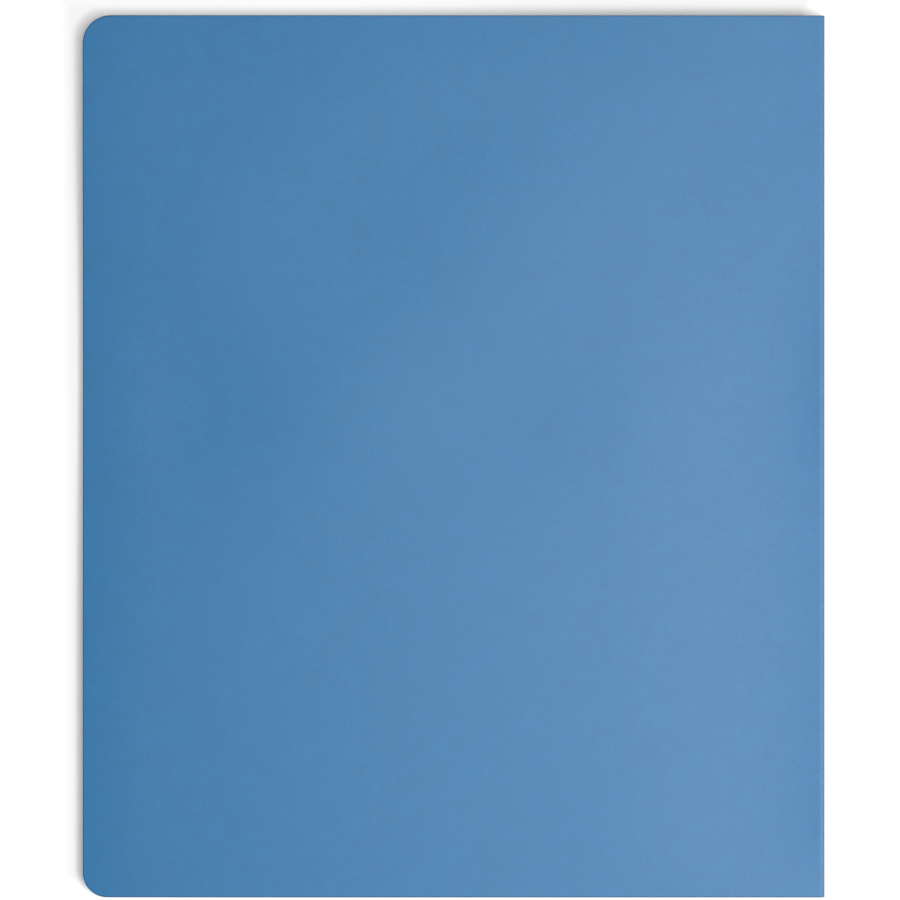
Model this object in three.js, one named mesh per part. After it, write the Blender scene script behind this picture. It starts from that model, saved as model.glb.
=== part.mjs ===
// Organizer folder, closed and lying on its front cover, in millimetres.
//
// A card cover, creased twice beside its spine, holds a divider section: one sheet of card
// creased into two tabbed leaves with a narrow back between them, which is glued to the inside
// of the spine. Each cover has a pocket inside, and each leaf has a pocket on both faces. A
// pocket is a separate panel, bonded on by three adhesive strips and open at its mouth and at
// the slope beside the spine, so that a sheet slides in from the head.
//
// +X points to the spine, +Y to the head and +Z up, from the front cover to the back cover.
// The origin is the middle of the closed folder's underside.

import * as THREE from "three";

// Closed size of the covers, and the radius of their two corners at the fore edge
const coverWidth = 250.8;
const coverHeight = 298.5;
const coverCornerRadius = 10;

// Thickness of each material, and the free space that is left between one board and the next
const coverCard = 0.4;
const pocketCard = 0.25;
const leafCard = 0.25;
const bondFilm = 0.1;
const labelPaper = 0.1;
const spineGlueThickness = 0.15;
const layerGap = 0.35;

// Creases: the outer edges of the spine are rounded, and a board stops short of its crease
const spineEdgeRadius = 0.3;
const creaseGap = 0.1;
const spineGlueInset = 8;

// Divider leaves: their edges stay inside the covers, and each has one tab at the fore edge
const leafHeadMargin = 3;
const leafFootMargin = 3;
const leafCornerRadius = 6;
const tabEdgeMargin = 3;
const tabProjection = 10;
const tabLength = 62;
const tabEndSlope = 5;
const tabStagger = 72;
const firstTabFromHead = 26;
const tabCornerRadius = 4;
const tabRootRadius = 2;
const labelMargin = 1.5;
const labelCornerRadius = 1;

// Pockets: panel height, the slope of the mouth beside the spine, and the set back of its edges
const pocketHeight = 112;
const pocketSlopeDrop = 26;
const pocketSlopeRun = 34;
const pocketSlopeRadius = 12;
const pocketMouthRadius = 3;
const pocketEdgeInset = 1;
const pocketSpineInset = 7;

// Adhesive strips under a pocket's edges
const bondWidth = 5;
const bondInset = 0.5;
const bondEndGap = 0.5;

const arcSteps = 12;

// Heights of the boards in the closed stack, each taken at its lower face
const pocketStack = bondFilm + pocketCard;
const betweenBoards = pocketStack + layerGap + pocketStack;
const frontCoverLow = 0;
const leafLows = [coverCard + betweenBoards];
leafLows.push(leafLows[0] + leafCard + betweenBoards);
const backCoverLow = leafLows[1] + leafCard + betweenBoards;
const closedThickness = backCoverLow + coverCard;

// Places along X and Y
const foreEdge = -coverWidth / 2;
const spineFace = coverWidth / 2;
const foot = -coverHeight / 2;
const head = coverHeight / 2;
const spineInside = spineFace - coverCard;
const sectionBackOutside = spineInside - spineGlueThickness;
const sectionBackInside = sectionBackOutside - leafCard;
const coverSpineEdge = spineInside - creaseGap;
const leafSpineEdge = sectionBackInside - creaseGap;
const tabEdge = foreEdge + tabEdgeMargin;
const leafForeEdge = tabEdge + tabProjection;
const leafFoot = foot + leafFootMargin;
const leafHead = head - leafHeadMargin;

function finish(color, roughness) {
  return new THREE.MeshStandardMaterial({ color, roughness, metalness: 0 });
}

const coverFinish = finish(0x4d82b2, 0.42);
const pocketFinish = finish(0x5288b8, 0.45);
const leafFinish = finish(0xe4e9ef, 0.7);
const labelFinish = finish(0xf6f6f2, 0.8);
const bondFinish = finish(0xd8d6c8, 0.35);

const folder = new THREE.Group();

function add(name, geometry, material, x, y, z) {
  const mesh = new THREE.Mesh(geometry, material);
  mesh.name = name;
  mesh.position.set(x, y, z);
  folder.add(mesh);
  return mesh;
}

// The points of one rounded corner: an arc that runs smoothly into both edges of the corner.
// A corner with no radius is its own single point.
function cornerPoints(before, corner, after) {
  const [x, y, radius = 0] = corner;
  const at = new THREE.Vector2(x, y);
  if (radius === 0) {
    return [at];
  }
  const toBefore = new THREE.Vector2(before[0], before[1]).sub(at).normalize();
  const toAfter = new THREE.Vector2(after[0], after[1]).sub(at).normalize();
  const halfAngle = Math.acos(toBefore.dot(toAfter)) / 2;
  const middle = toBefore.clone().add(toAfter).normalize();
  const centre = at.clone().addScaledVector(middle, radius / Math.sin(halfAngle));
  const start = at.clone().addScaledVector(toBefore, radius / Math.tan(halfAngle)).sub(centre);
  const turn = Math.sign(toAfter.cross(toBefore)) * (Math.PI - 2 * halfAngle);
  return Array.from({ length: arcSteps + 1 }, (_, i) =>
    start.clone().rotateAround(new THREE.Vector2(), (turn * i) / arcSteps).add(centre),
  );
}

// A closed outline through corners [x, y, radius], listed anticlockwise.
function outline(corners) {
  const points = corners.flatMap((corner, i) =>
    cornerPoints(corners.at(i - 1), corner, corners[(i + 1) % corners.length]),
  );
  return new THREE.Shape(points);
}

// A flat piece of card or paper cut to an outline in X and Y, its lower face at height low.
function sheet(name, corners, thickness, low, material) {
  const cut = { depth: thickness, bevelEnabled: false };
  return add(name, new THREE.ExtrudeGeometry(outline(corners), cut), material, 0, 0, low);
}

// A plain rectangular strip between two corners in X and Y.
function strip(name, [x0, x1], [y0, y1], thickness, low, material) {
  const box = new THREE.BoxGeometry(x1 - x0, y1 - y0, thickness);
  return add(name, box, material, (x0 + x1) / 2, (y0 + y1) / 2, low + thickness / 2);
}

// One cover board: square at the spine, rounded at the fore edge.
function coverBoard(name, low) {
  const corners = [
    [foreEdge, foot, coverCornerRadius],
    [coverSpineEdge, foot],
    [coverSpineEdge, head],
    [foreEdge, head, coverCornerRadius],
  ];
  return sheet(name, corners, coverCard, low, coverFinish);
}

// The spine: a strip that stands between the two creases, its outer edges rounded.
function spineStrip() {
  const section = outline([
    [spineInside, 0],
    [spineFace, 0, spineEdgeRadius],
    [spineFace, closedThickness, spineEdgeRadius],
    [spineInside, closedThickness],
  ]);
  const cut = { depth: coverHeight, bevelEnabled: false };
  const mesh = add("spine", new THREE.ExtrudeGeometry(section, cut), coverFinish, 0, head, 0);
  mesh.rotation.x = Math.PI / 2;
  return mesh;
}

// The back of the divider section, from the lower face of leaf 1 to the upper face of leaf 2,
// and the line of glue between it and the spine.
function sectionBack() {
  const low = leafLows[0];
  const rise = leafLows[1] + leafCard - low;
  strip("section_back", [sectionBackInside, sectionBackOutside], [leafFoot, leafHead], rise, low,
    leafFinish);
  strip("spine_glue", [sectionBackOutside, spineInside],
    [leafFoot + spineGlueInset, leafHead - spineGlueInset], rise, low, bondFinish);
}

// Where the tab of leaf number i starts and ends along Y, at its root. Its ends slope inwards.
function tabSpan(i) {
  const headEnd = leafHead - firstTabFromHead - i * tabStagger;
  return [headEnd - tabLength, headEnd];
}

// One divider leaf with its tab, and the paper label on the tab's lower face, which is the face
// that a reader sees first.
function dividerLeaf(i) {
  const name = `leaf_${i + 1}`;
  const [tabFoot, tabHead] = tabSpan(i);
  const corners = [
    [leafForeEdge, leafFoot, leafCornerRadius],
    [leafSpineEdge, leafFoot],
    [leafSpineEdge, leafHead],
    [leafForeEdge, leafHead, leafCornerRadius],
    [leafForeEdge, tabHead, tabRootRadius],
    [tabEdge, tabHead - tabEndSlope, tabCornerRadius],
    [tabEdge, tabFoot + tabEndSlope, tabCornerRadius],
    [leafForeEdge, tabFoot, tabRootRadius],
  ];
  sheet(name, corners, leafCard, leafLows[i], leafFinish);

  const labelFore = tabEdge + labelMargin;
  const labelEnd = leafForeEdge - labelMargin;
  const labelFoot = tabFoot + tabEndSlope + labelMargin;
  const labelHead = tabHead - tabEndSlope - labelMargin;
  const labelCorners = [
    [labelFore, labelFoot, labelCornerRadius],
    [labelEnd, labelFoot, labelCornerRadius],
    [labelEnd, labelHead, labelCornerRadius],
    [labelFore, labelHead, labelCornerRadius],
  ];
  sheet(`${name}_label`, labelCorners, labelPaper, leafLows[i] - labelPaper, labelFinish);
}

// One pocket on a board. face is the height of the board's face that it is bonded to, and side
// is +1 where the pocket lies above that face and -1 where it lies below it.
function pocket(name, fore, bottom, boardCornerRadius, face, side) {
  const x0 = fore + pocketEdgeInset;
  const x1 = coverSpineEdge - pocketSpineInset;
  const y0 = bottom + pocketEdgeInset;
  const mouth = bottom + pocketHeight;
  const slopeEnd = mouth - pocketSlopeDrop;
  const cornerRadius = boardCornerRadius - pocketEdgeInset;
  const bondLow = side > 0 ? face : face - bondFilm;
  const panelLow = side > 0 ? face + bondFilm : face - bondFilm - pocketCard;

  const corners = [
    [x0, y0, cornerRadius],
    [x1, y0],
    [x1, slopeEnd],
    [x1 - pocketSlopeRun, mouth, pocketSlopeRadius],
    [x0, mouth, pocketMouthRadius],
  ];
  sheet(name, corners, pocketCard, panelLow, pocketFinish);

  const bondEdge = bondInset + bondWidth;
  const cornerStart = Math.max(cornerRadius, bondEdge + bondEndGap);
  strip(`${name}_foot_bond`, [x0 + cornerStart, x1 - bondInset], [y0 + bondInset, y0 + bondEdge],
    bondFilm, bondLow, bondFinish);
  strip(`${name}_fore_bond`, [x0 + bondInset, x0 + bondEdge],
    [y0 + cornerStart, mouth - pocketMouthRadius], bondFilm, bondLow, bondFinish);
  strip(`${name}_spine_bond`, [x1 - bondEdge, x1 - bondInset],
    [y0 + bondEdge + bondEndGap, slopeEnd - bondInset], bondFilm, bondLow, bondFinish);
}

coverBoard("front_cover", frontCoverLow);
coverBoard("back_cover", backCoverLow);
pocket("front_pocket", foreEdge, foot, coverCornerRadius, frontCoverLow + coverCard, 1);
pocket("back_pocket", foreEdge, foot, coverCornerRadius, backCoverLow, -1);

spineStrip();
sectionBack();

leafLows.forEach((low, i) => {
  dividerLeaf(i);
  pocket(`leaf_${i + 1}_front_pocket`, leafForeEdge, leafFoot, leafCornerRadius, low, -1);
  pocket(`leaf_${i + 1}_back_pocket`, leafForeEdge, leafFoot, leafCornerRadius, low + leafCard, 1);
});

export default folder;
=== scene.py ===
import bpy
import numpy as np
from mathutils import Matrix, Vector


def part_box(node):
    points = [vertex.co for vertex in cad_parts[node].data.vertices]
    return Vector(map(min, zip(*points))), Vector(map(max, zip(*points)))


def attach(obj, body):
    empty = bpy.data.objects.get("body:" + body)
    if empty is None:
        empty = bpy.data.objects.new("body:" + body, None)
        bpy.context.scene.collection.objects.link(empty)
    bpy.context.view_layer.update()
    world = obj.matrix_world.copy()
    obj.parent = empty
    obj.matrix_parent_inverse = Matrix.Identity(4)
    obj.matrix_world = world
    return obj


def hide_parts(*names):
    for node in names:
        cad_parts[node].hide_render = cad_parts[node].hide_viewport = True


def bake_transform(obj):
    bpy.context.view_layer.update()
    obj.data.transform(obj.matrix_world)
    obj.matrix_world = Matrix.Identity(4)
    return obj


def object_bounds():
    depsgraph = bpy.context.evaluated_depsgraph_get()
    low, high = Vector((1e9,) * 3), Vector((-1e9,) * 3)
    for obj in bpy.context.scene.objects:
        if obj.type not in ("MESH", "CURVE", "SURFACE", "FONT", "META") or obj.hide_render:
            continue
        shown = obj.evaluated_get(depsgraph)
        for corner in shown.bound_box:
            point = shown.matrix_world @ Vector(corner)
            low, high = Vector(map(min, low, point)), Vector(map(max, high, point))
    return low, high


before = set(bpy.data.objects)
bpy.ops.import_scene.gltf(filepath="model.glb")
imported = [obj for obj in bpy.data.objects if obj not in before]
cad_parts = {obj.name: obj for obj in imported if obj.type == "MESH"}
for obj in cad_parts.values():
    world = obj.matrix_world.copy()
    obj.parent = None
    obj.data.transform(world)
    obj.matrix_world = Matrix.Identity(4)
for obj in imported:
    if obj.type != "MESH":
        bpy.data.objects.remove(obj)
cad_bounds = [list(corner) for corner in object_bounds()]

# Stage. A camera straight above the closed folder, a pale floor that keeps its shadow, a broad lamp
# high beyond the spine, a smaller and lower one beyond the spine's foot, and an even white surround.

MM = 0.001
(fore_edge, foot, _), (spine_face, head, closed_thickness) = np.array(cad_bounds) / MM

camera_x, camera_y, camera_height = -1.25, 1.95, 1520.4
camera_data = bpy.data.cameras.new("studio_camera")
camera_data.lens = 180
camera_data.sensor_width = 36
camera = bpy.data.objects.new("studio_camera", camera_data)
camera.location = (camera_x * MM, camera_y * MM, (closed_thickness + camera_height) * MM)
bpy.context.collection.objects.link(camera)
bpy.context.scene.camera = camera
bpy.context.scene.view_settings.view_transform = "Standard"


def wire(tree, kind, inputs=None, **settings):
    """Adds one node; an input is linked if it is given a socket, and set if it is given a value."""
    node = tree.nodes.new(kind)
    for key, value in settings.items():
        setattr(node, key, value)
    for key, value in (inputs or {}).items():
        if isinstance(value, bpy.types.NodeSocket):
            tree.links.new(value, node.inputs[key])
        else:
            node.inputs[key].default_value = value
    return node


def maths(tree, operation, *values, clamp=False):
    """One Math node on sockets or numbers."""
    inputs = dict(enumerate(values))
    return wire(tree, "ShaderNodeMath", inputs, operation=operation, use_clamp=clamp).outputs[0]


def vectors(tree, operation, *values):
    """One Vector Math node on sockets or vectors."""
    inputs = dict(enumerate(values))
    return wire(tree, "ShaderNodeVectorMath", inputs, operation=operation).outputs[0]


def seen_directly(tree):
    """1 for a ray from the camera, or one seen in gloss or through glass, and 0 for light."""
    path = wire(tree, "ShaderNodeLightPath")
    either = maths(tree, "MAXIMUM", path.outputs["Is Camera Ray"], path.outputs["Is Glossy Ray"])
    return maths(tree, "MAXIMUM", either, path.outputs["Is Transmission Ray"])


fill_level = 0.24
surround = bpy.data.worlds.new("studio_surround")
surround.use_nodes = True
surround_tree = surround.node_tree
surround_tree.nodes.clear()
surround_level = wire(
    surround_tree,
    "ShaderNodeMapRange",
    {"Value": seen_directly(surround_tree), "To Min": fill_level, "To Max": 1.0},
)
surround_light = wire(
    surround_tree,
    "ShaderNodeBackground",
    {"Color": (1, 1, 1, 1), "Strength": surround_level.outputs[0]},
)
wire(surround_tree, "ShaderNodeOutputWorld", {"Surface": surround_light.outputs[0]})
bpy.context.scene.world = surround

# Each lamp: its way and height seen from the folder, in degrees, its distance, width and depth in
# metres, and the level to which it lights white card at the folder. A disc of power P lights card
# that faces it to P / (pi * distance) ** 2, and card that lies flat to sin(elevation) times that.
lamps = {
    "high_lamp": (-11.4, 66, 1.5, (1.14, 1.63), 0.64),
    "low_lamp": (-37, 49, 1.8, (0.52, 0.52), 0.2),
}
for name, (azimuth, elevation, distance, size, level) in lamps.items():
    azimuth, elevation = np.radians([azimuth, elevation])
    lamp_data = bpy.data.lights.new(name, "AREA")
    lamp_data.shape = "ELLIPSE"
    lamp_data.size, lamp_data.size_y = size
    lamp_data.energy = level * np.pi**2 * distance**2 / np.sin(elevation)
    lamp = bpy.data.objects.new(name, lamp_data)
    away = distance * np.cos(elevation)
    lamp.location = (away * np.cos(azimuth), away * np.sin(azimuth), distance * np.sin(elevation))
    lamp.rotation_euler = (np.pi / 2 - elevation, 0, azimuth + np.pi / 2)
    lamp.visible_camera = False
    bpy.context.collection.objects.link(lamp)

floor_half = 4.0
floor_drop = 0.02 * MM
floor_mesh = bpy.data.meshes.new("studio_floor")
floor_corners = floor_half * np.array([(-1, -1, 0), (1, -1, 0), (1, 1, 0), (-1, 1, 0)])
floor_mesh.from_pydata((floor_corners - [0, 0, floor_drop]).tolist(), [], [(0, 1, 2, 3)])
floor = bpy.data.objects.new("studio_floor", floor_mesh)
bpy.context.collection.objects.link(floor)

floor_finish = bpy.data.materials.new("studio_floor")
floor_finish.use_nodes = True
floor_tree = floor_finish.node_tree
floor_tree.nodes.clear()
# The floor glows faintly round the folder, and this glow paints shade. It is less inside a zone round the
# folder, which paints the folder's shadow darker, and least beside the head edge towards the spine, which
# paints the shadow there deeper. It is more past the reach of its shadow, and more again far off. The
# faint zone is the folder's outline, moved by margins.
shadow_zone_margins = np.array([(-4, 8, 0), (-8, 2.5, 0)])
shadow_zone_low, shadow_zone_high = (np.array([(fore_edge, foot, 0), (spine_face, head, 0)]) + shadow_zone_margins) * MM
floor_place = wire(floor_tree, "ShaderNodeTexCoord").outputs["Object"]
from_middle = vectors(floor_tree, "SUBTRACT", floor_place, (shadow_zone_low + shadow_zone_high) / 2)
beyond_glow = vectors(
    floor_tree, "SUBTRACT", vectors(floor_tree, "ABSOLUTE", from_middle), (shadow_zone_high - shadow_zone_low) / 2
)
past = wire(floor_tree, "ShaderNodeSeparateXYZ", {0: beyond_glow})
floor_x = wire(floor_tree, "ShaderNodeSeparateXYZ", {0: floor_place}).outputs[0]
# Painted shadow: the faint zone's glow falls from 0.2 to 0.05 towards the spine, which darkens the floor
# beside the head edge there.
painted_shadow_level = wire(
    floor_tree,
    "ShaderNodeMapRange",
    {"Value": floor_x, "From Min": -60 * MM, "From Max": 75 * MM, "To Min": 0.2, "To Max": 0.05},
    interpolation_type="SMOOTHSTEP",
)
# Painted shadow: the glow stays at that low level inside the faint zone, where the folder's shadow falls,
# and rises to 0.36 within 6 mm past it.
painted_shadow_glow = wire(
    floor_tree,
    "ShaderNodeMapRange",
    {
        "Value": maths(floor_tree, "MAXIMUM", past.outputs[0], past.outputs[1]),
        "From Max": 6 * MM,
        "To Min": painted_shadow_level.outputs[0],
        "To Max": 0.36,
    },
)
floor_reach = wire(floor_tree, "ShaderNodeVectorMath", {0: floor_place}, operation="LENGTH")
far_glow = wire(
    floor_tree,
    "ShaderNodeMapRange",
    {"Value": floor_reach.outputs["Value"], "From Min": 0.24, "From Max": 0.9, "To Max": 0.47},
)
floor_glow = maths(floor_tree, "ADD", painted_shadow_glow.outputs[0], far_glow.outputs[0])
floor_shine = wire(
    floor_tree,
    "ShaderNodeEmission",
    {
        "Color": (1, 1, 1, 1),
        "Strength": maths(floor_tree, "MULTIPLY", seen_directly(floor_tree), floor_glow),
    },
)
floor_paint = wire(floor_tree, "ShaderNodeBsdfDiffuse", {"Color": (0.82, 0.82, 0.82, 1)})
floor_layers = {0: floor_paint.outputs[0], 1: floor_shine.outputs[0]}
floor_sum = wire(floor_tree, "ShaderNodeAddShader", floor_layers)
wire(floor_tree, "ShaderNodeOutputMaterial", {"Surface": floor_sum.outputs[0]})
floor_mesh.materials.append(floor_finish)

# Front cover. One half of a blank of printed card, satin film outside and bare white board
# inside, die cut with two round corners and rolled over a scored crease into half of the spine.

cover_card = 0.4
foot_corner_radius, head_corner_radius = 8.2, 9.5
crease_radius = 1.25
wear_reach = 0.9
wear_middle = 0.75
sharp_angle = 50

# Grid lines beside an edge, at these distances from it, the least distance between two lines, and the
# share of its thickness that a card has at the first three, because a cut presses its edge thinner.
edge_stations = np.array([0.0, 0.06, 0.15, 0.35, 0.8])
least_step = 0.03
edge_shares = (0.5, 0.8, 1.0)
butt_length = 50


def rounded(corners, steps=16):
    """Outline through corners (x, y, radius), anticlockwise. An arc starts radius / tan(half angle)
    before its corner, turns by a half turn less the corner's angle, and has its centre on the line
    that halves that angle."""
    corners = np.array(corners, float)
    at, radius = corners[:, :2], corners[:, 2:]
    before = np.roll(at, 1, axis=0) - at
    after = np.roll(at, -1, axis=0) - at
    before /= np.linalg.norm(before, axis=1, keepdims=True)
    after /= np.linalg.norm(after, axis=1, keepdims=True)
    half = np.arccos((before * after).sum(1, keepdims=True)) / 2
    middle = before + after
    middle /= np.linalg.norm(middle, axis=1, keepdims=True)
    centre = at + middle * radius / np.sin(half)
    start = at + before * radius / np.tan(half) - centre
    way = np.sign(after[:, :1] * before[:, 1:] - after[:, 1:] * before[:, :1])
    turn = way * (np.pi - 2 * half) * np.linspace(0, 1, steps + 1)
    x = centre[:, :1] + start[:, :1] * np.cos(turn) - start[:, 1:] * np.sin(turn)
    y = centre[:, 1:] + start[:, :1] * np.sin(turn) + start[:, 1:] * np.cos(turn)
    return np.stack([x.ravel(), y.ravel()], axis=1)


def spans(outline, rows):
    """Lowest and highest x of an outline at each y of rows. Every edge meets every level y at the
    share of its rise that the level is at, and the outermost meetings are kept."""
    (x0, y0), (x1, y1) = outline.T, np.roll(outline, -1, axis=0).T
    rises = np.abs(y1 - y0) > 1e-9
    share = (rows[:, None] - y0) / np.where(rises, y1 - y0, 1)
    met = rises & (share > -1e-6) & (share < 1 + 1e-6)
    x = x0 + share * (x1 - x0)
    return np.where(met, x, np.inf).min(1), np.where(met, x, -np.inf).max(1)


def stations(low, high, pitch, extra=()):
    """Places from low to high: close together at both ends, pitch apart between, and at each extra.
    A place is dropped where it is too near the one before it or either end."""
    rim = edge_stations[-1]
    middle = np.linspace(low + rim, high - rim, max(int((high - low) / pitch), 4))
    places = np.concatenate([low + edge_stations, middle, high - edge_stations, np.array(extra, float)])
    places = np.unique(places[(places > low + least_step) & (places < high - least_step)])
    places = places[np.append(True, np.diff(places) > least_step)]
    return np.concatenate([[low], places, [high]])


def distance_to(outline, x, y):
    """Distance of each point from the nearest edge of an outline: the point less the place on the
    edge that its foot falls at, which is held between the edge's ends."""
    start, run = outline, np.roll(outline, -1, axis=0) - outline
    real = (run**2).sum(1) > 1e-12
    start, run = start[real], run[real]
    off_x, off_y = x[..., None] - start[:, 0], y[..., None] - start[:, 1]
    foot_at = np.clip((off_x * run[:, 0] + off_y * run[:, 1]) / (run**2).sum(1), 0, 1)
    return np.hypot(off_x - foot_at * run[:, 0], off_y - foot_at * run[:, 1]).min(-1)


def smooth(t):
    """0 below 0, 1 above 1, and 3 t squared less 2 t cubed between."""
    t = np.clip(t, 0, 1)
    return t * t * (3 - 2 * t)


def sheet_faces(shape, upward):
    """The quads of a closed sheet, whose outer points come first: its outer grid, its inner grid, and
    the walls round its rim. upward says that the outer face is seen from the far side of the grid."""
    index = np.arange(shape[0] * shape[1]).reshape(shape)
    corners = [index[:-1, :-1], index[:-1, 1:], index[1:, 1:], index[1:, :-1]]
    grid = np.stack(corners, axis=-1).reshape(-1, 4)
    rim = np.concatenate([index[0, :-1], index[:-1, -1], index[-1, :0:-1], index[:0:-1, 0]])
    after = np.roll(rim, -1)
    walls = np.stack([rim, after, after + index.size, rim + index.size], axis=-1)
    if upward:
        return grid[:, ::-1], grid + index.size, walls
    return grid, grid[:, ::-1] + index.size, walls[:, ::-1]


def card(
    name,
    outline,
    lay,
    thickness,
    finishes,
    pitch=6.0,
    extra=(),
    butt=False,
    creased_at=None,
    settle=None,
):
    """A closed sheet of card. Rows cross its cut outline along y, and each row's columns run from its
    lowest to its highest x, keeping their distance from the nearer edge beside an edge. lay carries
    that distance x along the sheet's path: a point of the outer face, and the way inward. Both faces
    lie half a thickness from the middle, less beside a cut edge, and walls close the rim. Faces are
    turned outwards by the side on which inward lies, looking along the path with y upright. butt
    says that the edge at the highest x is no cut edge, because the sheet runs on into its other half."""
    rows = stations(outline[:, 1].min(), outline[:, 1].max(), pitch, outline[:, 1])
    low, high = (side[:, None] for side in spans(outline, rows))
    columns = stations(low.min(), high.max(), pitch, extra)[None, :]
    rim = edge_stations[-1]
    from_low, from_high = columns - low.min(), high.max() - columns
    inner = low + rim + (from_low - rim) / (high.max() - low.min() - 2 * rim) * (high - low - 2 * rim)
    x = np.where(from_low < rim, low + from_low, np.where(from_high < rim, high - from_high, inner))
    y = np.broadcast_to(rows[:, None], x.shape)
    run_on = outline + [butt_length, 0] * (outline[:, :1] > high.max() - 1e-6)
    from_edge = distance_to(run_on if butt else outline, x, y)
    half = thickness / 2 * np.interp(from_edge, edge_stations[:3], edge_shares)
    path_x, path_z, inward_x, inward_z = lay(x)
    depth = np.stack([thickness / 2 - half, thickness / 2 + half])
    points = np.stack([path_x + inward_x * depth, np.stack([y, y]), path_z + inward_z * depth], axis=-1)
    if settle:
        points = settle(points)

    run_x = path_x[0, 1] - path_x[0, 0]
    run_z = path_z[0, 1] - path_z[0, 0]
    upward = run_x * inward_z.flat[0] - run_z * inward_x.flat[0] > 0
    face_groups = sheet_faces(x.shape, upward)
    faces = np.concatenate(face_groups)

    mesh = bpy.data.meshes.new(name)
    mesh.from_pydata((points.reshape(-1, 3) * MM).tolist(), [], faces.tolist())
    for finish in finishes:
        mesh.materials.append(finish)
    finish_of_face = np.repeat([0, 1, 2], [len(group) for group in face_groups])
    mesh.polygons.foreach_set("material_index", finish_of_face)
    mesh.polygons.foreach_set("use_smooth", np.ones(len(faces), bool))
    mesh.set_sharp_from_angle(angle=np.radians(sharp_angle))
    across = (x - low.min()) / (high.max() - low.min())
    along = (y - rows[0]) / (rows[-1] - rows[0])
    flat_map = np.tile(np.stack([across.ravel(), along.ravel()], axis=1), (2, 1))[faces.ravel()]
    mesh.uv_layers.new(name="sheet").data.foreach_set("uv", flat_map.ravel().astype(np.float32))
    fold = np.zeros(x.shape)
    if creased_at is not None:
        fold = np.exp(-(((x - creased_at) / wear_reach) ** 2))
    for label, value in (("edge_distance", from_edge), ("crease_wear", fold)):
        attribute = mesh.attributes.new(label, "FLOAT", "POINT")
        attribute.data.foreach_set("value", np.tile(value.ravel(), 2).astype(np.float32))
    piece = bpy.data.objects.new(name, mesh)
    bpy.context.collection.objects.link(piece)
    return piece


def srgb(red, green, blue):
    """A colour given as 0 to 255 on a screen, as the linear numbers that shaders take."""
    value = np.array([red, green, blue]) / 255
    linear = np.where(value <= 0.04045, value / 12.92, ((value + 0.055) / 1.055) ** 2.4)
    return (*linear, 1.0)


# Sizes of the patterns in a sheet's finish: slow mottle, fine grain, drawn-out fibre, changes of gloss,
# peel of the film and flecks of wear. Fibre and flecks are drawn out along y by their stretch.
mottle_size, grain_size, fibre_size, gloss_size, peel_size, fleck_size = 7.0, 0.7, 1.6, 9.0, 1.1, 0.5
fibre_stretch, fleck_stretch = (1, 0.12, 1), (1, 0.3, 1)
gloss_swing = 0.03
worn_roughness = 0.2


def card_finish(name, colour, roughness, specular, mottle, grain, fibre, edge, crease, bump):
    """A sheet's finish. Its colour is scaled by mottle, grain and fibre, then runs to the edge colour
    beside a cut, and to the crease colour in broken flecks along a fold. edge and crease are (colour,
    amount). The relief is peel, fibre and half as much grain."""
    finish = bpy.data.materials.new(name)
    finish.use_nodes = True
    tree = finish.node_tree
    tree.nodes.clear()
    place = wire(tree, "ShaderNodeTexCoord").outputs["Object"]

    def noise(size, detail=2.0, stretch=(1, 1, 1), falloff=0.5):
        spread = wire(tree, "ShaderNodeMapping", {"Vector": place, "Scale": stretch}).outputs[0]
        octaves = {"Vector": spread, "Scale": 1 / (size * MM), "Detail": detail, "Roughness": falloff}
        return wire(tree, "ShaderNodeTexNoise", octaves).outputs[0]

    def swing(value, amount):
        return maths(tree, "MULTIPLY_ADD", value, 2 * amount, 1 - amount)

    slow = noise(mottle_size, 4.0, falloff=1.0)
    fine = noise(grain_size)
    drawn = noise(fibre_size, 4.0, fibre_stretch)
    shade = maths(tree, "MULTIPLY", swing(slow, mottle), swing(fine, grain))
    shade = maths(tree, "MULTIPLY", shade, swing(drawn, fibre))
    scaled = wire(tree, "ShaderNodeVectorMath", {0: colour[:3], "Scale": shade}, operation="SCALE")
    tone = scaled.outputs[0]

    def run_to(base, other, amount):
        mixed = wire(tree, "ShaderNodeMix", {"Factor": amount, 6: base, 7: other}, data_type="RGBA")
        return mixed.outputs[2]

    edge_colour, edge_amount = edge
    distance = wire(tree, "ShaderNodeAttribute", attribute_name="edge_distance").outputs["Fac"]
    beside = wire(tree, "ShaderNodeMapRange", {"Value": distance, "From Min": 0.5, "From Max": 0.05})
    tone = run_to(tone, edge_colour, maths(tree, "MULTIPLY", beside.outputs[0], edge_amount))
    crease_colour, crease_amount = crease
    crease_value = wire(tree, "ShaderNodeAttribute", attribute_name="crease_wear").outputs["Fac"]
    flecks = wire(
        tree,
        "ShaderNodeMapRange",
        {"Value": noise(fleck_size, 4.0, fleck_stretch), "From Min": 0.15, "From Max": 0.75},
    ).outputs[0]
    flecked = maths(tree, "MULTIPLY", crease_value, flecks)
    tone = run_to(tone, crease_colour, maths(tree, "MULTIPLY", flecked, crease_amount, clamp=True))

    gloss = noise(gloss_size, 4.0, falloff=0.8)
    rough = maths(tree, "MULTIPLY_ADD", gloss, gloss_swing, roughness - gloss_swing / 2)
    rough = maths(tree, "MULTIPLY_ADD", flecked, worn_roughness, rough)
    height = maths(tree, "MULTIPLY_ADD", drawn, 0.8, noise(peel_size, 1.0))
    height = maths(tree, "MULTIPLY_ADD", fine, 0.5, height)
    relief = wire(tree, "ShaderNodeBump", {"Height": height, "Distance": bump * MM, "Strength": 1.0})
    shader = wire(
        tree,
        "ShaderNodeBsdfPrincipled",
        {
            "Base Color": tone,
            "Roughness": rough,
            "Specular IOR Level": specular,
            "Normal": relief.outputs[0],
        },
    )
    wire(tree, "ShaderNodeOutputMaterial", {"Surface": shader.outputs[0]})
    return finish


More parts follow.
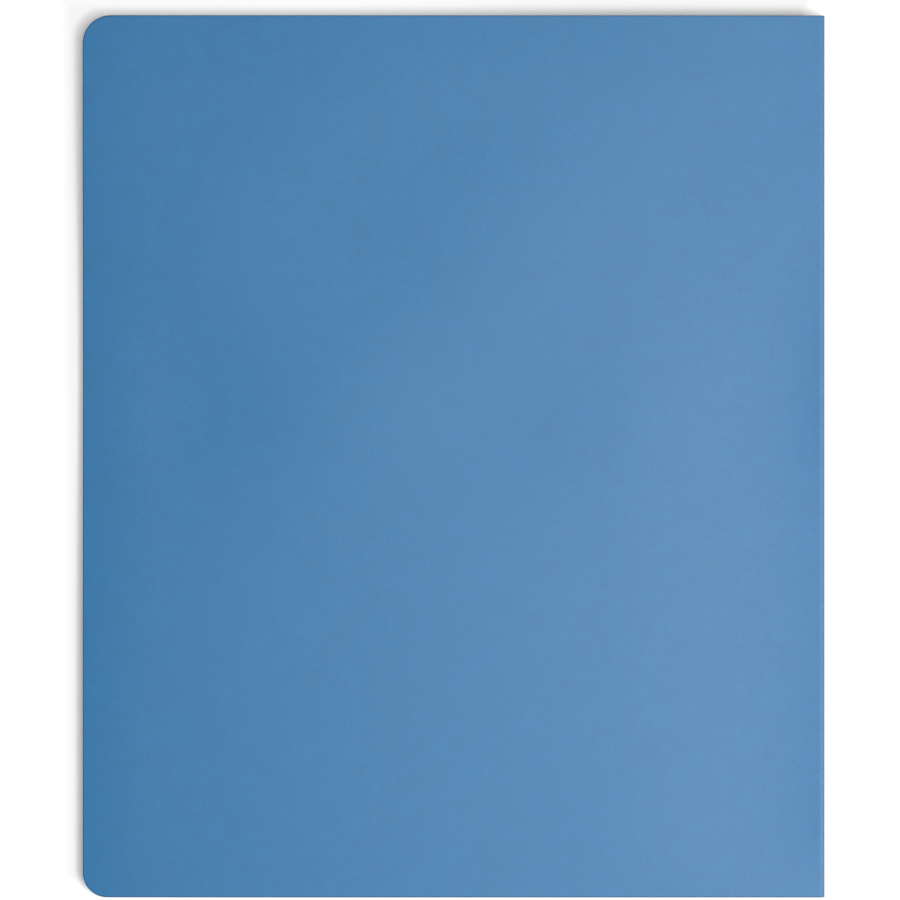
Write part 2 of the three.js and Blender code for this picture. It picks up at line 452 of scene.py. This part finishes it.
film_blue = card_finish(
    "blue_satin_film",
    srgb(15, 109, 162),
    roughness=0.38,
    specular=0.575,
    mottle=0.2,
    grain=0.12,
    fibre=0.01,
    edge=(srgb(14, 62, 96), 1.0),
    crease=(srgb(178, 174, 168), 0.38),
    bump=0.004,
)
board_white = card_finish(
    "white_board_inside",
    srgb(236, 238, 238),
    roughness=0.8,
    specular=0.3,
    mottle=0.015,
    grain=0.03,
    fibre=0.04,
    edge=(srgb(214, 216, 214), 0.5),
    crease=(srgb(222, 224, 222), 0.6),
    bump=0.012,
)
board_core = card_finish(
    "white_board_cut_edge",
    srgb(228, 230, 228),
    roughness=0.9,
    specular=0.2,
    mottle=0.02,
    grain=0.09,
    fibre=0.08,
    edge=(srgb(216, 220, 222), 0.3),
    crease=(srgb(222, 224, 222), 0.2),
    bump=0.03,
)


def rolled(level, crease, radius, upside_down=False):
    """The path of a creased board: flat at level until a radius before the crease, a quarter circle,
    and then upright. Upside down, it is mirrored about the middle of the closed folder."""

    def lay(x):
        past = x - (crease - radius)
        angle = np.clip(past / radius, 0, np.pi / 2)
        rise = np.maximum(past - radius * np.pi / 2, 0)
        path_x = np.minimum(x, crease - radius) + radius * np.sin(angle)
        path_z = level + radius * (1 - np.cos(angle)) + rise
        if upside_down:
            return path_x, closed_thickness - path_z, -np.sin(angle), -np.cos(angle)
        return path_x, path_z, -np.sin(angle), np.cos(angle)

    return lay


cover_roll = crease_radius * np.pi / 2
cover_end = spine_face - crease_radius + cover_roll + closed_thickness / 2 - crease_radius
cover_outline = rounded(
    [
        (fore_edge, foot, foot_corner_radius),
        (cover_end, foot, 0),
        (cover_end, head, 0),
        (fore_edge, head, head_corner_radius),
    ]
)
cover_columns = spine_face - crease_radius + np.concatenate(
    [np.linspace(-14, -1, 14), np.linspace(0, cover_roll, 13)]
)
cover_crease = spine_face - crease_radius + wear_middle * cover_roll

front_head_trim = (0.0, 0.45)


def trimmed(points, at_fore, at_spine):
    """A cover's head is cut at a slight slant: y shrinks towards the foot by a trim that runs evenly
    from the fore edge to the spine."""
    x, y, z = np.moveaxis(points, -1, 0)
    trim = at_fore + (at_spine - at_fore) * (x - fore_edge) / (spine_face - fore_edge)
    return np.stack([x, y - trim * (y - foot) / (head - foot), z], axis=-1)


front_cover = card(
    "front_cover_board",
    cover_outline,
    rolled(0, spine_face, crease_radius),
    cover_card,
    (film_blue, board_white, board_core),
    extra=cover_columns,
    butt=True,
    creased_at=cover_crease,
    settle=lambda points: trimmed(points, *front_head_trim),
)
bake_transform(front_cover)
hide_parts("front_cover", "spine")

# Back cover. The other half of the same blank. It has settled since it was closed: its fore edge
# has sunk and droops, and it lies in a long valley beside its crease, turned up at the head and foot.

# Places and lengths are along y, but those with fore in their names, the valley's start and width,
# and the reach of the crease are along x.
sag_middle, sag_spread, fore_sag_spread = 35.0, 55.0, 50.0
pocket_sag, pocket_sag_end, pocket_sag_fade = 0.5, 60.0, 25.0
droop_depths, droop_change, droop_run, fore_droop_reach = (0.6, 0.35), 60.0, 60.0, 22.0
valley_depths, valley_change, valley_run = (0.78, 0.17), 40.0, 70.0
valley_start_x, valley_width, crease_reach = 55.0, 63.0, 14.0
foot_lip, head_lip = 20.0, 12.0
least_wave, wave_height, fore_wave_run = 0.03, 0.2, 40.0
wave_foot, wave_foot_run, wave_head, wave_head_run = -30.0, 50.0, 135.0, 30.0
wave_scales, wave_phases = (17.0, 21.0), (0.7, 1.1)
back_head_trim = (0.36, 0.48)


def eased(ends, t):
    """From the first of two values to the second, by the smooth step of t."""
    return ends[0] + (ends[1] - ends[0]) * smooth(t)


def sag(x, y):
    """How far the fore edge has sunk. Along y it is a bell a little above the pockets' mouths, and a
    share of that over the pockets that fades out towards the head. Across x it is half a bell."""
    bell = np.exp(-(((y - sag_middle) / sag_spread) ** 2))
    over_pockets = pocket_sag / (1 + np.exp((y - pocket_sag_end) / pocket_sag_fade))
    return (bell + over_pockets) * np.exp(-(((x - fore_edge) / fore_sag_spread) ** 2))


def droop(x, y):
    """How far the back board bends down to its fore edge: with the square of the distance from
    where the bend starts, and less at the head."""
    depth = eased(droop_depths, (y - droop_change) / droop_run)
    return depth * np.clip(1 - (x - fore_edge) / fore_droop_reach, 0, 1) ** 2


def dish(x, y):
    """A valley along the crease and slow waves, both 0 at the crease, which they climb to ever more
    steeply. The valley is shallower towards the head, and ends at a lip at the head and the foot. The
    waves are one plus a product of sines in x and y, and lie between the pockets and the head."""
    climb = 1 - np.exp(-np.maximum(spine_face - crease_radius - x, 0) / crease_reach)
    depth = eased(valley_depths, (y - valley_change) / valley_run)
    lips = smooth((y - foot) / foot_lip) * smooth((head - y) / head_lip)
    fade = smooth((y - wave_foot) / wave_foot_run) * smooth((x - fore_edge) / fore_wave_run)
    height = least_wave + wave_height * fade * smooth((wave_head - y) / wave_head_run)
    sines = np.sin(x / wave_scales[0] + wave_phases[0]) * np.sin(y / wave_scales[1] + wave_phases[1])
    return climb * (depth * lips * smooth((x - valley_start_x) / valley_width) + height * (1 + sines))


def settled(share):
    """Each board between the covers sinks by its share of what the back board sinks, as far as the
    roll at the spine. The back board alone droops as well."""

    def settle(points):
        x, y, z = np.moveaxis(points, -1, 0)
        drop = share * (sag(x, y) + dish(x, y)) + (droop(x, y) if share == 1 else 0)
        return np.stack([x, y, z - drop * (x < spine_face - crease_radius)], axis=-1)

    return settle


back_cover = card(
    "back_cover_board",
    cover_outline,
    rolled(0, spine_face, crease_radius, upside_down=True),
    cover_card,
    (film_blue, board_white, board_core),
    pitch=4.0,
    extra=cover_columns,
    butt=True,
    creased_at=cover_crease,
    settle=lambda points: trimmed(settled(1)(points), *back_head_trim),
)
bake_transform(back_cover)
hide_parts("back_cover", "spine")

# Divider section. One sheet of pale card, creased twice into two leaves and a narrow back between
# them. Each leaf is die cut with one tab at its fore edge, the second tab below the first.

leaf_card = 0.25
leaf_crease_radius = 0.5
leaf_corner_radius = 6.0
tab_projection = 10.0
tab_length = 62.0
tab_end_slope = 5.0
tab_stagger = 72.0
first_tab_from_head = 26.0
tab_corner_radius = 4.0
tab_root_radius = 2.0

leaf_finish = card_finish(
    "pale_leaf_card",
    srgb(228, 233, 239),
    roughness=0.7,
    specular=0.4,
    mottle=0.012,
    grain=0.02,
    fibre=0.03,
    edge=(srgb(214, 220, 228), 0.5),
    crease=(srgb(214, 220, 228), 0.6),
    bump=0.01,
)
leaf_edge_finish = card_finish(
    "leaf_cut_edge",
    srgb(220, 226, 232),
    roughness=0.85,
    specular=0.3,
    mottle=0.02,
    grain=0.08,
    fibre=0.06,
    edge=(srgb(214, 220, 228), 0.3),
    crease=(srgb(214, 220, 228), 0.2),
    bump=0.02,
)


def box_mm(node):
    """A CAD node's lowest and highest corners, in millimetres."""
    return (np.array(corner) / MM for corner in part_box(node))


_, back_high = box_mm("section_back")
section_crease = back_high[0]
leaf_bodies = {"leaf_1": "first_leaf", "leaf_2": "second_leaf"}
leaf_shares = {"leaf_1": 1 / 3, "leaf_2": 2 / 3}

for place, (leaf, body) in enumerate(leaf_bodies.items()):
    low, high = box_mm(leaf)
    upside_down = leaf == "leaf_2"
    level = closed_thickness - high[2] if upside_down else low[2]
    tab_head = high[1] - first_tab_from_head - place * tab_stagger
    tab_foot = tab_head - tab_length
    root = low[0] + tab_projection
    roll = leaf_crease_radius * np.pi / 2
    end = section_crease - leaf_crease_radius + roll + closed_thickness / 2 - level - leaf_crease_radius
    leaf_outline = rounded(
        [
            (root, low[1], leaf_corner_radius),
            (end, low[1], 0),
            (end, high[1], 0),
            (root, high[1], leaf_corner_radius),
            (root, tab_head, tab_root_radius),
            (low[0], tab_head - tab_end_slope, tab_corner_radius),
            (low[0], tab_foot + tab_end_slope, tab_corner_radius),
            (root, tab_foot, tab_root_radius),
        ]
    )
    piece = card(
        f"divider_{leaf}",
        leaf_outline,
        rolled(level, section_crease, leaf_crease_radius, upside_down),
        leaf_card,
        (leaf_finish, leaf_finish, leaf_edge_finish),
        pitch=7.0,
        extra=section_crease - leaf_crease_radius + np.append(-1, np.linspace(0, roll, 9)),
        butt=True,
        creased_at=section_crease - leaf_crease_radius + roll / 2,
        settle=settled(leaf_shares[leaf]),
    )
    side = -1 if upside_down else 1
    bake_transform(piece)
    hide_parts(leaf, "section_back")

# Spine glue. A line of white glue between the section's back and the inside of the spine, rolled
# on by machine, so its face is flat and its rim wanders a little.

glue_finish = card_finish(
    "set_white_glue",
    srgb(216, 214, 200),
    roughness=0.35,
    specular=0.5,
    mottle=0.03,
    grain=0.03,
    fibre=0.05,
    edge=(srgb(196, 194, 178), 0.6),
    crease=(srgb(216, 214, 200), 0.0),
    bump=0.02,
)


def ripple(run, scales, phases):
    """The sum of a sine wave along a strip for each scale and phase."""
    return sum(np.sin(run / scale + phase) for scale, phase in zip(scales, phases))


def rectangle(across, along, radius, steps):
    """The outline of a rectangle with four equal round corners, from its ends across and along."""
    corners = [(across[0], along[0]), (across[1], along[0]), (across[1], along[1]), (across[0], along[1])]
    return rounded([(*corner, radius) for corner in corners], steps)


glue_low, glue_high = box_mm("spine_glue")
glue_middle = (glue_low[2] + glue_high[2]) / 2
glue_clearance = 0.02
glue_share, glue_swing = 0.7, 0.1
glue_scales, glue_phases = (3.1, 7.7, 1.7), (0, 1, 2)


def upright(x):
    """The glue's path: distance runs up the spine, and inward is away from it."""
    place = np.full(x.shape, glue_high[0] - glue_clearance)
    return place, x, np.full(x.shape, -1.0), np.zeros(x.shape)


def glue_wander(points):
    """Draws the glue's upper and lower rims in to its share of the half width, less a swing that goes
    with the ripple, so that it stays clear of the rolls."""
    waves = ripple(points[..., 1], glue_scales, glue_phases)
    points = points.copy()
    narrower = glue_share - glue_swing * (3 + waves) / 6
    points[..., 2] = glue_middle + (points[..., 2] - glue_middle) * narrower
    return points


spine_glue = card(
    "spine_glue_line",
    rectangle((glue_low[2], glue_high[2]), (glue_low[1], glue_high[1]), 0.5, steps=6),
    upright,
    glue_high[0] - glue_low[0] - 2 * glue_clearance,
    (glue_finish, glue_finish, glue_finish),
    pitch=2.0,
    settle=glue_wander,
)
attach(spine_glue, "spine_board")
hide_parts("spine_glue")

# Pockets. Panels of the same blue card with bare white inside, one in each cover and one on either
# face of both leaves, each open at its mouth, at the head, and at the slope beside the spine.

pocket_card = 0.25
pocket_slope_drop = 26.0
pocket_slope_run = 34.0
pocket_slope_radius = 12.0
pocket_mouth_radius = 3.0
pocket_bow = 0.1
bond_print = 0.03
bond_edge, print_run = 5.5, 3.0

pocket_blue = card_finish(
    "blue_pocket_face",
    srgb(52, 121, 175),
    roughness=0.46,
    specular=0.35,
    mottle=0.1,
    grain=0.05,
    fibre=0.01,
    edge=(srgb(40, 98, 146), 0.5),
    crease=(srgb(150, 185, 212), 0.0),
    bump=0.005,
)

# Each pocket: the body it rides on, the share of the sag its board has, which way it lies from its
# board, and the radius of its foot corner.
pockets = {
    "front_pocket": ("front_board", 0, 1, 9.0),
    "leaf_1_front_pocket": ("first_leaf", 1 / 3, -1, 5.0),
    "leaf_1_back_pocket": ("first_leaf", 1 / 3, 1, 5.0),
    "leaf_2_front_pocket": ("second_leaf", 2 / 3, -1, 5.0),
    "leaf_2_back_pocket": ("second_leaf", 2 / 3, 1, 5.0),
    "back_pocket": ("back_board", 1, -1, 9.0),
}


def flat(level, inward):
    """A flat path: distance runs along x at one level."""

    def lay(x):
        return x, np.full(x.shape, level), np.zeros(x.shape), np.full(x.shape, float(inward))

    return lay


def pocket_shape(low, high, side, settle):
    """A pocket's panel bows off its board towards the mouth, as one half wave across, and prints the
    strips beneath it: away from them it lies lower."""

    def move(points):
        x, y, z = np.moveaxis(points, -1, 0)
        across = np.clip((x - low[0]) / (high[0] - low[0]), 0, 1)
        up = np.clip((y - low[1]) / (high[1] - low[1]), 0, 1)
        bow = pocket_bow * np.sin(np.pi * across) ** 2 * up**3
        inside = np.minimum(np.minimum(x - low[0], high[0] - x), y - low[1])
        print_through = bond_print * smooth((inside - bond_edge) / print_run) * (1 - up)
        return settle(np.stack([x, y, z + side * (bow - print_through)], axis=-1))

    return move


print_ends = bond_edge + np.array([0, print_run])

for name, (body, share, side, foot_corner) in pockets.items():
    low, high = box_mm(name)
    slope_end = high[1] - pocket_slope_drop
    pocket_outline = rounded(
        [
            (low[0], low[1], foot_corner),
            (high[0], low[1], 0),
            (high[0], slope_end, 0),
            (high[0] - pocket_slope_run, high[1], pocket_slope_radius),
            (low[0], high[1], pocket_mouth_radius),
        ]
    )
    panel = card(
        f"{name}_panel",
        pocket_outline,
        flat(high[2] if side > 0 else low[2], -side),
        pocket_card,
        (pocket_blue, board_white, board_core),
        pitch=7.0,
        extra=np.concatenate([low[0] + print_ends, high[0] - print_ends]),
        settle=pocket_shape(low, high, side, settled(share)),
    )
    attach(panel, body)
    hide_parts(name)

# Bonds. Three strips of pale hot melt film hold each pocket: along its foot, its fore edge and its
# spine side, with their long edges a little uneven where the melt has run.

film_clearance = 0.022
film_wander = 0.12
film_scales = (3.1, 7.7, 1.3)

film_finish = card_finish(
    "pale_melt_film",
    srgb(216, 214, 200),
    roughness=0.35,
    specular=0.5,
    mottle=0.04,
    grain=0.04,
    fibre=0.03,
    edge=(srgb(190, 188, 172), 0.6),
    crease=(srgb(216, 214, 200), 0.0),
    bump=0.015,
)


def wandering(low, high, phase, settle):
    """Draws a strip's long edges in by up to its share of the half width, as a ripple along it."""
    centre = (low + high) / 2
    long_axis = int(np.argmax(high - low))
    short_axis = 1 - long_axis

    def move(points):
        waves = ripple(points[..., long_axis], film_scales, (phase, 2 * phase, 3 * phase))
        points = points.copy()
        offset = points[..., short_axis] - centre[short_axis]
        points[..., short_axis] = centre[short_axis] + offset * (1 - film_wander * (3 + waves) / 6)
        return settle(points)

    return move


for order, (name, (body, share, side, _)) in enumerate(pockets.items()):
    for strip in ("foot_bond", "fore_bond", "spine_bond"):
        node = f"{name}_{strip}"
        low, high = box_mm(node)
        outer_level = (high[2] if side > 0 else low[2]) - side * film_clearance
        bond = card(
            f"{node}_film",
            rectangle((low[0], high[0]), (low[1], high[1]), 1, steps=6),
            flat(outer_level, -side),
            high[2] - low[2] - 2 * film_clearance,
            (film_finish, film_finish, film_finish),
            pitch=2.5,
            settle=wandering(low[:2], high[:2], order + len(strip), settled(share)),
        )
        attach(bond, body)
        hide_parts(node)

# Tab labels. A slip of matt paper stuck to the lower face of each tab, which is the face that a
# reader sees first, with one thin printed border and nothing written on it.

label_corner_radius = 1.0
border_inset = 0.9
border_width = 0.3
border_cover = 0.85
label_clearance = 0.01


def label_finish(width, length):
    """Label paper: fibre in its colour and relief, and a border where the distance to the nearest
    edge, read from the sheet's own map, is within half the line's width of its inset."""
    finish = card_finish(
        "label_paper",
        srgb(246, 246, 242),
        roughness=0.8,
        specular=0.3,
        mottle=0.01,
        grain=0.02,
        fibre=0.03,
        edge=(srgb(226, 226, 220), 0.5),
        crease=(srgb(246, 246, 242), 0.0),
        bump=0.01,
    )
    tree = finish.node_tree
    shader = next(node for node in tree.nodes if node.type == "BSDF_PRINCIPLED")
    paper = shader.inputs["Base Color"].links[0].from_socket
    place = wire(tree, "ShaderNodeUVMap", uv_map="sheet").outputs[0]
    parts = wire(tree, "ShaderNodeSeparateXYZ", {0: place})
    away = []
    for socket, size in ((parts.outputs[0], width), (parts.outputs[1], length)):
        nearer = maths(tree, "MINIMUM", socket, maths(tree, "SUBTRACT", 1.0, socket))
        away.append(maths(tree, "MULTIPLY", nearer, float(size)))
    distance = maths(tree, "MINIMUM", *away)
    off_line = maths(tree, "ABSOLUTE", maths(tree, "SUBTRACT", distance, border_inset))
    on_line = maths(tree, "LESS_THAN", off_line, border_width / 2)
    inked = wire(
        tree,
        "ShaderNodeMix",
        {"Factor": maths(tree, "MULTIPLY", on_line, border_cover), 6: paper, 7: srgb(77, 130, 178)},
        data_type="RGBA",
    )
    tree.links.new(inked.outputs[2], shader.inputs["Base Color"])
    return finish


for leaf, body in leaf_bodies.items():
    low, high = box_mm(f"{leaf}_label")
    width, length = high[0] - low[0], high[1] - low[1]
    label_paper = label_finish(width, length)
    label = card(
        f"{leaf}_tab_label",
        rectangle((low[0], high[0]), (low[1], high[1]), label_corner_radius, steps=8),
        flat(low[2], 1),
        high[2] - low[2] - label_clearance,
        (label_paper, label_paper, label_paper),
        pitch=2.0,
        settle=settled(leaf_shares[leaf]),
    )
    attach(label, body)
    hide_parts(f"{leaf}_label")
